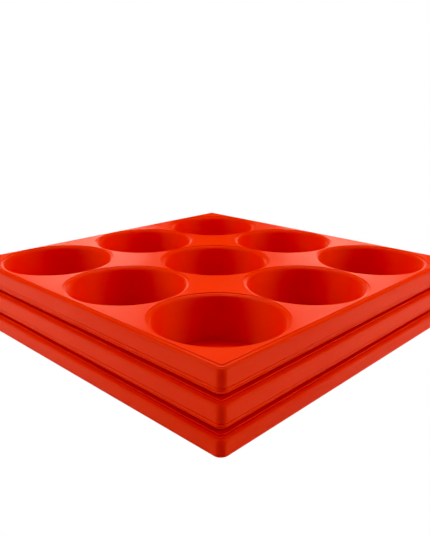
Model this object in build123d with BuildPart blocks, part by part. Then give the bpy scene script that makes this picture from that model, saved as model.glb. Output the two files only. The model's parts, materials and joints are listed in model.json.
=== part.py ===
"""Paint rack organizer: three stacked printed layers with a three by three grid of round bottle pockets.

The base layer is a plain slab. The middle layer carries the floors and the lower part of the pockets,
and the top layer is bored right through, with rounded pocket rims. Each layer lifts off the one
below, and four dowels at each joint keep the stack in line. The pockets' webs are thin, so the
dowels stand where four pockets meet, which is the widest solid place.

Origin: centre of the underside. +Z up, the sides of the rack along X and Y.
"""

from build123d import *
import os

# Pocket grid
pitch = 40.0  # from one pocket's centre to the next
pockets_per_side = 3
pocket_diameter = 36.8
pocket_depth = 15.0  # from the top face to the floor
pocket_taper = 0.2  # narrowing of the radius from the middle layer's top to the floor
rim_radius = 1.5  # rounding of each pocket's mouth

# Layers
width = 124.0  # outside, both ways
base_height = 7.8
middle_height = 9.0
top_height = 9.0
corner_radius = 2.2  # vertical corners of a layer, the same under the bevel
top_edge_radius = 1.5  # rounding round the top edge of a layer
undercut = 2.8  # 45 degree bevel round the bottom edge of a layer

# Dowels, pressed into the layer below and sliding in the layer above
dowel_diameter = 5.0
dowel_length = 7.0
dowel_depth = 3.5  # how deep a dowel sits in the layer below
dowel_chamfer = 0.5
socket_clearance = 0.15  # radial, in the layer above
socket_headroom = 0.4  # above the end of a dowel

middle_bottom = base_height
top_bottom = base_height + middle_height
top_face = top_bottom + top_height
pocket_floor = top_face - pocket_depth
pocket_radius = pocket_diameter / 2
dowels_per_side = pockets_per_side - 1


def footprint(inset, radius):
    """Rounded square outline of a layer, set in from its outside by inset."""
    return RectangleRounded(width - 2 * inset, width - 2 * inset, radius)


def slab(bottom, height):
    """Layer blank with its base at the height bottom: bevelled below, upright sides, rounded above."""
    with BuildPart() as blank:
        with BuildSketch(Plane.XY.offset(bottom)):
            footprint(undercut, corner_radius)
        with BuildSketch(Plane.XY.offset(bottom + undercut)):
            footprint(0, corner_radius)
        loft(ruled=True)
        with BuildSketch(Plane.XY.offset(bottom + undercut)):
            footprint(0, corner_radius)
        extrude(amount=height - undercut)
        fillet(blank.faces().sort_by(Axis.Z)[-1].edges(), top_edge_radius)
    return blank.part


def cut_round_holes(start, end, radius, count):
    """Cut a square grid of count by count round holes between two heights, in the part being built."""
    with BuildSketch(Plane.XY.offset(start)) as holes:
        with GridLocations(pitch, pitch, count, count):
            Circle(radius)
    extrude(holes.sketch, amount=end - start, mode=Mode.SUBTRACT)


def cut_pocket_bottoms():
    """Cut the blind lower parts of the pockets, which narrow towards their floors and centre the bottles."""
    with Locations((0, 0, pocket_floor)):
        with GridLocations(pitch, pitch, pockets_per_side, pockets_per_side):
            Cone(
                bottom_radius=pocket_radius - pocket_taper,
                top_radius=pocket_radius,
                height=top_bottom - pocket_floor,
                align=(Align.CENTER, Align.CENTER, Align.MIN),
                mode=Mode.SUBTRACT,
            )


def dowel_set(joint):
    """The four dowels that stand across the joint at the height joint."""
    with BuildPart() as dowels:
        with BuildSketch(Plane.XY.offset(joint - dowel_depth)):
            with GridLocations(pitch, pitch, dowels_per_side, dowels_per_side):
                Circle(dowel_diameter / 2)
        extrude(amount=dowel_length)
        chamfer(dowels.edges().filter_by(GeomType.CIRCLE), dowel_chamfer)
    return dowels.part


def cut_dowel_seats(joint):
    """Holes under a joint that grip the dowels."""
    cut_round_holes(joint - dowel_depth, joint, dowel_diameter / 2, dowels_per_side)


def cut_dowel_sockets(joint):
    """Blind holes above a joint that the dowels slide in."""
    socket_depth = dowel_length - dowel_depth + socket_headroom
    cut_round_holes(joint, joint + socket_depth, dowel_diameter / 2 + socket_clearance, dowels_per_side)


# Base layer: a plain slab, the foot of the rack
with BuildPart() as base_layer:
    add(slab(0, base_height))
    cut_dowel_seats(middle_bottom)

# Middle layer: floors and lower walls of the pockets
with BuildPart() as middle_layer:
    add(slab(middle_bottom, middle_height))
    cut_pocket_bottoms()
    cut_dowel_sockets(middle_bottom)
    cut_dowel_seats(top_bottom)

# Top layer: bored through, with rounded rims
with BuildPart() as top_layer:
    add(slab(top_bottom, top_height))
    cut_round_holes(top_bottom, top_face, pocket_radius, pockets_per_side)
    rims = top_layer.edges().filter_by(GeomType.CIRCLE).group_by(Axis.Z)[-1]
    fillet(rims.filter_by(lambda edge: abs(edge.radius - pocket_radius) < 0.01), rim_radius)
    cut_dowel_sockets(top_bottom)

# Dowels
with BuildPart() as base_dowels:
    add(dowel_set(middle_bottom))

with BuildPart() as middle_dowels:
    add(dowel_set(top_bottom))

os.makedirs("parts", exist_ok=True)
base_layer.part.label = "base_layer"
middle_layer.part.label = "middle_layer"
top_layer.part.label = "top_layer"
base_dowels.part.label = "base_dowels"
middle_dowels.part.label = "middle_dowels"
export_step(base_layer.part, "parts/base_layer.step")
export_step(middle_layer.part, "parts/middle_layer.step")
export_step(top_layer.part, "parts/top_layer.step")
export_step(base_dowels.part, "parts/base_dowels.step")
export_step(middle_dowels.part, "parts/middle_dowels.step")
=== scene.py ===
"""Paint rack organizer: the printed look of its three layers and their dowels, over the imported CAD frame.

Every layer is rebuilt as it comes off a printer: a stack of fine beads that follows the CAD outline, so
that the rounded edges and pocket rims break up into small steps. All lengths are in metres.
"""

import json
import math
import random

import bmesh
import bpy
from mathutils import Matrix, Vector


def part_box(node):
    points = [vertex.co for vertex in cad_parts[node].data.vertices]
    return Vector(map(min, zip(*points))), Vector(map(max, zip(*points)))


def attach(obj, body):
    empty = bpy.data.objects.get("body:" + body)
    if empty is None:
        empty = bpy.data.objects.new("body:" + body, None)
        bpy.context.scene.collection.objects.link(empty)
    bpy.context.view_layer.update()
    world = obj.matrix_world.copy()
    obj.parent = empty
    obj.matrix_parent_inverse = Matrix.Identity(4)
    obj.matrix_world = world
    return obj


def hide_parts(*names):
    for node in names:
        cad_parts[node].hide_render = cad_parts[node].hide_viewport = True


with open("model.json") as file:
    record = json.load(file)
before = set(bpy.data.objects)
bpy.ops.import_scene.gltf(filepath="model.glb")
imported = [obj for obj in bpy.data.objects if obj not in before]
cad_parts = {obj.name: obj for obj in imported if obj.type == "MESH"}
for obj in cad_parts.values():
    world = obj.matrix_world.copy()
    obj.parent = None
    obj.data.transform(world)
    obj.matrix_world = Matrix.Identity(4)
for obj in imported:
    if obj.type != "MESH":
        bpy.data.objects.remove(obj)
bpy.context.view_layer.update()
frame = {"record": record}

MM = 0.001

# The rack's own sizes that the frame doesn't list
EDGE_RADIUS = 1.5 * MM  # rounding round the top edge of a layer, and of the pocket rims
UNDERCUT = 2.8 * MM  # bevel round the bottom edge of a layer
CROWN = 0.15 * MM  # the sides lean in by this much over their height, before the rounding
CORNER_RADIUS = 2.2 * MM
POCKET_DEPTH = 15 * MM
POCKET_TAPER = 0.2 * MM  # the part in the middle layer narrows by this much in radius
PITCH = 40 * MM  # between the middles of two pockets, and of two dowels
DOWEL_RADIUS = 2.5 * MM
DOWEL_CHAMFER = 0.5 * MM
DOWEL_DEPTH = 3.5 * MM  # how far a dowel goes into each layer
HOLE_CHAMFER = 0.2 * MM
SOCKET_CLEARANCE = 0.15 * MM  # round a dowel, in the layer that lifts off
SOCKET_HEADROOM = 0.4 * MM  # above a dowel

# The print
BEAD = 0.25 * MM  # height of one printed line
BEAD_GROOVE = 0.07 * MM  # how far the joint between two lines sits back
BEAD_WANDER = 0.015 * MM  # random setback of a whole line
MARK_GROOVE = 0.25 * MM  # deeper joints just above an overhang, and at the foot of the top steps
OVERHANG_MARKS = (3.0 * MM, 3.75 * MM)  # above the layer's underside
TOP_STEPS = 2  # how many of the last beads stand out as steps

MARK_OPENING = 0.4  # how far a deeper joint opens the beads on either side, as a share of a bead's height
BEAD_OPENING = 0.3  # the same for a plain joint
RASTER_PERIOD = 0.6 * MM  # of the sum x + y, for the 45 degree lines of the top skin
RING_PERIOD = 0.45 * MM  # of the skin's rings round the pockets
RING_WIDTH = 1.4 * MM  # how far the rings reach past the rounded rim

POCKET_SEGMENTS = 72
DOWEL_SEGMENTS = 32
CORNER_SEGMENTS = 8
CREASE_ANGLE = math.radians(30)  # edges that turn by more than this stay crisp

pockets = [Vector(mount["pos_m"]) for mount in frame["record"]["mounts"] if mount["kind"] == "bore"]
pocket_radius = next(m["dims"]["r_mm"] for m in frame["record"]["mounts"] if m["kind"] == "bore") * MM
half_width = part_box("top_layer")[1][0]
top_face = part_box("top_layer")[1][2]
pocket_floor = top_face - POCKET_DEPTH
dowel_spots = [(x * PITCH / 2, y * PITCH / 2) for x in (-1, 1) for y in (-1, 1)]


# ---------------------------------------------------------------- mesh helpers


def bead_rows(low, high, offset_at, rng, marks=()):
    """(offset, height) rows of a wall printed in beads.

    offset_at(z) is how far the nominal wall sits back there. The joints at the marks, which are heights
    above low, are deeper.
    """
    count = max(1, round((high - low) / BEAD))
    step = (high - low) / count

    def joint(z):
        """Depth of the joint at a height, and how far it opens the beads on either side."""
        if any(abs(z - low - mark) < step / 2 for mark in marks):
            return MARK_GROOVE, MARK_OPENING * step
        return BEAD_GROOVE, BEAD_OPENING * step

    rows = []
    for k in range(count):
        start = low + k * step
        end = start + step
        setback = max(offset_at(start), offset_at(end)) + rng.uniform(0, BEAD_WANDER)
        start_depth, start_opening = joint(start)
        end_depth, end_opening = joint(end)
        rows.append((setback + start_depth, start))
        rows.append((setback, start + start_opening))
        rows.append((setback, end - end_opening))
        rows.append((setback + end_depth, end))
    return rows


def outline_points(inset, radius, z):
    """Rounded square at the height z, set in from the rack's outside by inset."""
    half = half_width - inset
    points = []
    for quarter, (sx, sy) in enumerate(((1, 1), (-1, 1), (-1, -1), (1, -1))):
        for k in range(CORNER_SEGMENTS + 1):
            angle = math.radians(90 * quarter + 90 * k / CORNER_SEGMENTS)
            x = sx * (half - radius) + radius * math.cos(angle)
            y = sy * (half - radius) + radius * math.sin(angle)
            points.append(Vector((x, y, z)))
    return points


def circle_points(centre, radius, z, segments):
    """Circle round a vertical axis."""
    turn = 2 * math.pi / segments
    return [
        Vector((centre[0] + radius * math.cos(k * turn), centre[1] + radius * math.sin(k * turn), z))
        for k in range(segments)
    ]


def skin(bm, loops):
    """Join a list of point loops into a wall. Returns the edges of the first and of the last loop."""
    rings = [[bm.verts.new(point) for point in loop] for loop in loops]
    for lower, upper in zip(rings, rings[1:]):
        for k in range(len(lower)):
            after = (k + 1) % len(lower)
            bm.faces.new((lower[k], lower[after], upper[after], upper[k]))
    ends = []
    for ring in (rings[0], rings[-1]):
        ends.append([bm.edges.get((ring[k], ring[(k + 1) % len(ring)])) for k in range(len(ring))])
    return ends


def cap(bm, edge_loops):
    """Fill the flat face between an outer loop and its holes."""
    bmesh.ops.triangle_fill(bm, use_beauty=True, edges=[edge for loop in edge_loops for edge in loop])


def finish_mesh(bm, name):
    """Turn the built mesh into an object with soft beads and crisp edges."""
    bmesh.ops.recalc_face_normals(bm, faces=bm.faces)
    for face in bm.faces:
        face.smooth = True
    for edge in bm.edges:
        if len(edge.link_faces) == 2 and edge.calc_face_angle() > CREASE_ANGLE:
            edge.smooth = False
    mesh = bpy.data.meshes.new(name)
    bm.to_mesh(mesh)
    bm.free()
    piece = bpy.data.objects.new(name, mesh)
    bpy.context.scene.collection.objects.link(piece)
    return piece


# ---------------------------------------------------------------- the layers


def rounding(z, high):
    """How far a rounded top edge sits back at a height."""
    rise = max(z - (high - EDGE_RADIUS), 0)
    return EDGE_RADIUS - math.sqrt(max(EDGE_RADIUS**2 - rise**2, 0))


def edge_inset(low, high):
    """How far a layer's side sits back at a height: bevelled below, rounded above."""

    def inset(z):
        if z < low + UNDERCUT:
            return UNDERCUT - (z - low)
        lean = CROWN * ((z - low - UNDERCUT) / (high - low - UNDERCUT)) ** 2
        return lean + (EDGE_RADIUS - CROWN) / EDGE_RADIUS * rounding(z, high)

    return inset


def step_marks(low, high):
    """Joints under the last beads of a layer, in heights above low."""
    return tuple(high - low - k * BEAD for k in range(1, TOP_STEPS + 1))


def side_wall(bm, low, high, rng, marks=()):
    """The outside of a layer."""
    loops = []
    for inset, z in bead_rows(low, high, edge_inset(low, high), rng, marks + step_marks(low, high)):
        radius = CORNER_RADIUS - inset if z > low + UNDERCUT else CORNER_RADIUS
        loops.append(outline_points(inset, radius, z))
    return skin(bm, loops)


def dowel_hole(bm, spot, mouth, end, radius):
    """Blind hole from its mouth to its flat end. Returns the mouth's edges."""
    chamfer_end = mouth + (HOLE_CHAMFER if end > mouth else -HOLE_CHAMFER)
    profile = [
        (radius + HOLE_CHAMFER, mouth),
        (radius, chamfer_end),
        (radius, (mouth + end) / 2),
        (radius, end),
    ]
    mouth_edges, end_edges = skin(bm, [circle_points(spot, r, z, DOWEL_SEGMENTS) for r, z in profile])
    cap(bm, [end_edges])
    return mouth_edges


def seats(bm, joint):
    """Holes in a layer's top face that grip the dowels."""
    return [dowel_hole(bm, spot, joint, joint - DOWEL_DEPTH, DOWEL_RADIUS) for spot in dowel_spots]


def sockets(bm, joint):
    """Holes in a layer's underside that the dowels slide in."""
    end = joint + DOWEL_DEPTH + SOCKET_HEADROOM
    return [dowel_hole(bm, spot, joint, end, DOWEL_RADIUS + SOCKET_CLEARANCE) for spot in dowel_spots]


def build_base_layer():
    """Plain slab with seats for the dowels in its top face."""
    low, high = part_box("base_layer")[0][2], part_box("base_layer")[1][2]
    bm = bmesh.new()
    bottom, top = side_wall(bm, low, high, random.Random(1))
    cap(bm, [bottom])
    cap(bm, [top] + seats(bm, high))
    return finish_mesh(bm, "printed_base_layer")


def build_middle_layer():
    """Slab with the lower part of the pockets, sockets below and seats above."""
    low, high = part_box("middle_layer")[0][2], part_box("middle_layer")[1][2]
    rng = random.Random(2)

    def taper(z):
        return POCKET_TAPER * (z - high) / (high - pocket_floor)

    bm = bmesh.new()
    bottom, top = side_wall(bm, low, high, rng, OVERHANG_MARKS)
    mouths = []
    for pocket in pockets:
        rows = bead_rows(pocket_floor, high, taper, rng)
        loops = [circle_points(pocket, pocket_radius + offset, z, POCKET_SEGMENTS) for offset, z in rows]
        floor_edges, mouth_edges = skin(bm, loops)
        cap(bm, [floor_edges])
        mouths.append(mouth_edges)
    cap(bm, [bottom] + sockets(bm, low))
    cap(bm, [top] + mouths + seats(bm, high))
    return finish_mesh(bm, "printed_middle_layer")


def build_top_layer():
    """Slab with the pockets bored through, rounded rims and sockets below."""
    low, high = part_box("top_layer")[0][2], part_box("top_layer")[1][2]
    rng = random.Random(3)
    bm = bmesh.new()
    bottom, top = side_wall(bm, low, high, rng, OVERHANG_MARKS)
    mouths_below, mouths_above = [], []
    for pocket in pockets:
        rows = bead_rows(low, high, lambda z: rounding(z, high), rng, step_marks(low, high))
        rows[-1] = (rows[-2][0], high)
        loops = [circle_points(pocket, pocket_radius + offset, z, POCKET_SEGMENTS) for offset, z in rows]
        below, above = skin(bm, loops)
        mouths_below.append(below)
        mouths_above.append(above)
    cap(bm, [bottom] + mouths_below + sockets(bm, low))
    cap(bm, [top] + mouths_above)
    return finish_mesh(bm, "printed_top_layer")


def build_dowels(node):
    """Four printed pins with chamfered ends and fine beads along their length."""
    low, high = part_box(node)[0][2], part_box(node)[1][2]
    rng = random.Random(4)

    def taper(z):
        return max(0, DOWEL_CHAMFER - (z - low), DOWEL_CHAMFER - (high - z))

    bm = bmesh.new()
    for spot in dowel_spots:
        rows = bead_rows(low, high, taper, rng)
        loops = [circle_points(spot, DOWEL_RADIUS - inset, z, DOWEL_SEGMENTS) for inset, z in rows]
        bottom, top = skin(bm, loops)
        cap(bm, [bottom])
        cap(bm, [top])
    return finish_mesh(bm, "printed_" + node)


# ---------------------------------------------------------------- material


class Nodes:
    """Small helper to wire a node tree."""

    def __init__(self, tree):
        self.tree = tree

    def add(self, kind, **settings):
        node = self.tree.nodes.new(kind)
        for key, value in settings.items():
            setattr(node, key, value)
        return node

    def link(self, source, target):
        self.tree.links.new(source, target)

    def math(self, operation, first, second=None):
        node = self.add("ShaderNodeMath", operation=operation)
        for socket, value in zip(node.inputs, (first, second)):
            if isinstance(value, (int, float)):
                socket.default_value = value
            elif value is not None:
                self.link(value, socket)
        return node.outputs[0]

    def noise(self, position, scale, detail):
        node = self.add("ShaderNodeTexNoise")
        node.inputs["Scale"].default_value = scale
        node.inputs["Detail"].default_value = detail
        self.link(position, node.inputs["Vector"])
        return node.outputs[0]


def raster_height(nodes, position):
    """Height of the top skin's lines: rings round the pockets, and 45 degree raster lines elsewhere."""
    parts = nodes.add("ShaderNodeSeparateXYZ")
    nodes.link(position, parts.inputs[0])
    x, y = parts.outputs[0], parts.outputs[1]
    diagonal = nodes.math("ADD", x, y)
    raster = nodes.math("SINE", nodes.math("MULTIPLY", diagonal, 2 * math.pi / RASTER_PERIOD))
    cell = []
    for along in (x, y):
        wrapped = nodes.math("WRAP", along, PITCH / 2)
        wrapped.node.inputs[2].default_value = -PITCH / 2
        cell.append(nodes.math("MULTIPLY", wrapped, wrapped))
    distance = nodes.math("SQRT", nodes.math("ADD", cell[0], cell[1]))
    rings = nodes.math("SINE", nodes.math("MULTIPLY", distance, 2 * math.pi / RING_PERIOD))
    near_rim = nodes.math("LESS_THAN", distance, pocket_radius + EDGE_RADIUS + RING_WIDTH)
    mixed = nodes.add("ShaderNodeMix", data_type="FLOAT")
    nodes.link(near_rim, mixed.inputs[0])
    nodes.link(raster, mixed.inputs[2])
    nodes.link(rings, mixed.inputs[3])
    return mixed.outputs[0]


def plastic_colour(nodes, shader, position, streaks, tint):
    """Red-orange that drifts a little from bead to bead, and in cloudy patches over centimetres."""
    clouds = nodes.noise(position, scale=60.0, detail=3.0)
    half_streaks = nodes.math("MULTIPLY", streaks, 0.5)
    half_clouds = nodes.math("MULTIPLY", clouds, 0.5)
    colour = nodes.add("ShaderNodeValToRGB")
    deep, bright = colour.color_ramp.elements
    deep.position = 0.3
    deep.color = (0.84 * tint, 0.027 * tint, 0.001 * tint, 1)
    bright.position = 0.7
    bright.color = (0.90 * tint, 0.037 * tint, 0.002 * tint, 1)
    nodes.link(nodes.math("ADD", half_streaks, half_clouds), colour.inputs[0])
    nodes.link(colour.outputs[0], shader.inputs["Base Color"])


def plastic_relief(nodes, shader, position):
    """Fine grain on every surface, and the skin's lines on those that face up or down."""
    grain = nodes.noise(position, scale=2500.0, detail=2.0)
    grain_bump = nodes.add("ShaderNodeBump")
    grain_bump.inputs["Strength"].default_value = 0.25
    grain_bump.inputs["Distance"].default_value = 0.02 * MM
    nodes.link(grain, grain_bump.inputs["Height"])

    geometry = nodes.add("ShaderNodeNewGeometry")
    facing = nodes.add("ShaderNodeSeparateXYZ")
    nodes.link(geometry.outputs["True Normal"], facing.inputs[0])
    flat = nodes.math("GREATER_THAN", nodes.math("ABSOLUTE", facing.outputs[2]), 0.95)
    skin_bump = nodes.add("ShaderNodeBump")
    skin_bump.inputs["Distance"].default_value = 0.012 * MM
    nodes.link(nodes.math("MULTIPLY", flat, 0.6), skin_bump.inputs["Strength"])
    nodes.link(raster_height(nodes, position), skin_bump.inputs["Height"])
    nodes.link(grain_bump.outputs[0], skin_bump.inputs["Normal"])
    nodes.link(skin_bump.outputs[0], shader.inputs["Normal"])


def print_material(name, tint):
    """Satin red-orange filament, a little see-through, with gloss that changes from bead to bead."""
    material = bpy.data.materials.new(name)
    material.use_nodes = True
    nodes = Nodes(material.node_tree)
    shader = material.node_tree.nodes["Principled BSDF"]
    shader.inputs["IOR"].default_value = 1.46
    shader.inputs["Specular IOR Level"].default_value = 0.15
    shader.inputs["Subsurface Weight"].default_value = 0.35
    shader.inputs["Subsurface Radius"].default_value = (1.0, 0.12, 0.04)
    shader.inputs["Subsurface Scale"].default_value = 0.4 * MM
    position = nodes.add("ShaderNodeTexCoord").outputs["Object"]

    # Noise squeezed along the height, so that it changes from bead to bead
    squeezed = nodes.add("ShaderNodeMapping")
    squeezed.inputs["Scale"].default_value = (12, 12, 1 / BEAD)
    nodes.link(position, squeezed.inputs["Vector"])
    streaks = nodes.noise(squeezed.outputs[0], scale=1.0, detail=2.0)
    roughness = nodes.add("ShaderNodeMapRange")
    roughness.inputs["To Min"].default_value = 0.30
    roughness.inputs["To Max"].default_value = 0.42
    nodes.link(streaks, roughness.inputs[0])
    nodes.link(roughness.outputs[0], shader.inputs["Roughness"])

    plastic_colour(nodes, shader, position, streaks, tint)
    plastic_relief(nodes, shader, position)
    return material


# ---------------------------------------------------------------- the pieces

def dress(piece, node, body, material):
    """Give a printed piece its material, and let it stand for its CAD node."""
    piece.data.materials.append(material)
    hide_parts(node)
    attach(piece, body)


filament = print_material("red_filament", 1.0)
dress(build_base_layer(), "base_layer", "base", filament)
dress(build_middle_layer(), "middle_layer", "middle", filament)
dress(build_top_layer(), "top_layer", "top", filament)

dowel_filament = print_material("red_filament_dowels", 0.92)
dress(build_dowels("base_dowels"), "base_dowels", "base", dowel_filament)
dress(build_dowels("middle_dowels"), "middle_dowels", "middle", dowel_filament)


# ---------------------------------------------------------------- studio

CAMERA_AZIMUTH = -46.135
CAMERA_ELEVATION = 16.841
CAMERA_ROLL = 0.276
CAMERA_DISTANCE = 0.19752
CAMERA_TARGET = Vector((-0.00862, -0.00838, 0.0258))
CAMERA_LENS = 38.58  # mm, as the sensor
SENSOR_WIDTH = 36
LIGHT_COLOUR = (1.0, 0.9, 0.7)
LIGHT_DISTANCE = 0.5
RACK_MIDDLE = Vector((0, 0, 0.013))
FLOOR_GAP = 0.05 * MM  # keeps the floor clear of the rack's underside


def direction(azimuth, elevation):
    """Unit vector from the rack towards a place in the studio, from two angles in degrees."""
    a, e = math.radians(azimuth), math.radians(elevation)
    return Vector((math.sin(a) * math.cos(e), -math.cos(a) * math.cos(e), math.sin(e)))


def softbox(name, azimuth, elevation, width, height, power, mirrored=True):
    """Area light that points at the middle of the rack, with or without its own reflection.

    The azimuth counts from the camera's.
    """
    light = bpy.data.lights.new(name, "AREA")
    light.shape = "RECTANGLE"
    light.size = width
    light.size_y = height
    light.energy = power
    light.color = LIGHT_COLOUR
    lamp = bpy.data.objects.new(name, light)
    towards = direction(CAMERA_AZIMUTH + azimuth, elevation)
    lamp.visible_glossy = mirrored
    lamp.location = RACK_MIDDLE + towards * LIGHT_DISTANCE
    lamp.rotation_euler = towards.to_track_quat("Z", "Y").to_euler()
    bpy.context.scene.collection.objects.link(lamp)


def white_floor(bounce):
    """Large pale floor: plain white where it is seen, and a soft grey as a source of bounced light."""
    bm = bmesh.new()
    bmesh.ops.create_grid(bm, x_segments=8, y_segments=8, size=6.0)
    floor = finish_mesh(bm, "floor")
    floor.location.z = -FLOOR_GAP
    material = bpy.data.materials.new("floor_paper")
    material.use_nodes = True
    nodes = Nodes(material.node_tree)
    shader = material.node_tree.nodes["Principled BSDF"]
    shader.inputs["Base Color"].default_value = (bounce, bounce, bounce, 1)
    shader.inputs["Roughness"].default_value = 0.9
    shader.inputs["Specular IOR Level"].default_value = 0.0
    white = nodes.add("ShaderNodeEmission")
    path = nodes.add("ShaderNodeLightPath")
    mix = nodes.add("ShaderNodeMixShader")
    nodes.link(path.outputs["Is Camera Ray"], mix.inputs[0])
    nodes.link(shader.outputs[0], mix.inputs[1])
    nodes.link(white.outputs[0], mix.inputs[2])
    nodes.link(mix.outputs[0], material.node_tree.nodes["Material Output"].inputs["Surface"])
    floor.data.materials.append(material)


def white_world(ambient):
    """Surroundings that are plain white where they are seen, and dim as a source of light."""
    world = bpy.data.worlds.new("studio")
    bpy.context.scene.world = world
    world.use_nodes = True
    nodes = Nodes(world.node_tree)
    background = world.node_tree.nodes["Background"]
    background.inputs["Color"].default_value = (1, 1, 1, 1)
    path = nodes.add("ShaderNodeLightPath")
    strength = nodes.add("ShaderNodeMix", data_type="FLOAT")
    strength.inputs[2].default_value = ambient
    strength.inputs[3].default_value = 1.0
    nodes.link(path.outputs["Is Camera Ray"], strength.inputs[0])
    nodes.link(strength.outputs[0], background.inputs["Strength"])


def make_camera():
    """Camera at the photograph's place, with its slight roll."""
    back = direction(CAMERA_AZIMUTH, CAMERA_ELEVATION)
    level_right = Vector((0, 0, 1)).cross(back).normalized()
    level_up = back.cross(level_right)
    roll = math.radians(CAMERA_ROLL)
    right = math.cos(roll) * level_right + math.sin(roll) * level_up
    up = -math.sin(roll) * level_right + math.cos(roll) * level_up
    data = bpy.data.cameras.new("camera")
    data.lens = CAMERA_LENS
    data.sensor_width = SENSOR_WIDTH
    data.clip_start = 0.01
    camera = bpy.data.objects.new("camera", data)
    place = Matrix.Translation(CAMERA_TARGET + back * CAMERA_DISTANCE)
    turn = Matrix((right, up, back)).transposed().to_4x4()
    camera.matrix_world = place @ turn
    bpy.context.scene.collection.objects.link(camera)
    bpy.context.scene.camera = camera


white_floor(bounce=0.8)
white_world(ambient=0.02)
softbox("overhead", 180, elevation=68, width=0.3, height=0.3, power=1.15)
softbox("front", 0, elevation=6, width=0.4, height=0.1, power=0.13, mirrored=False)
for side in (-1, 1):
    softbox(f"low_{side}", 88 * side, elevation=18, width=0.45, height=0.22, power=0.85)
    softbox(f"high_{side}", 85 * side, elevation=50, width=0.3, height=0.3, power=0.95)
    softbox(f"sheen_{side}", 162 * side, elevation=12, width=0.14, height=0.15, power=0.16)
make_camera()
view = bpy.context.scene.view_settings
view.view_transform = "Standard"
view.use_curve_mapping = True
view.curve_mapping.black_level = (0.008, 0.008, 0.008)
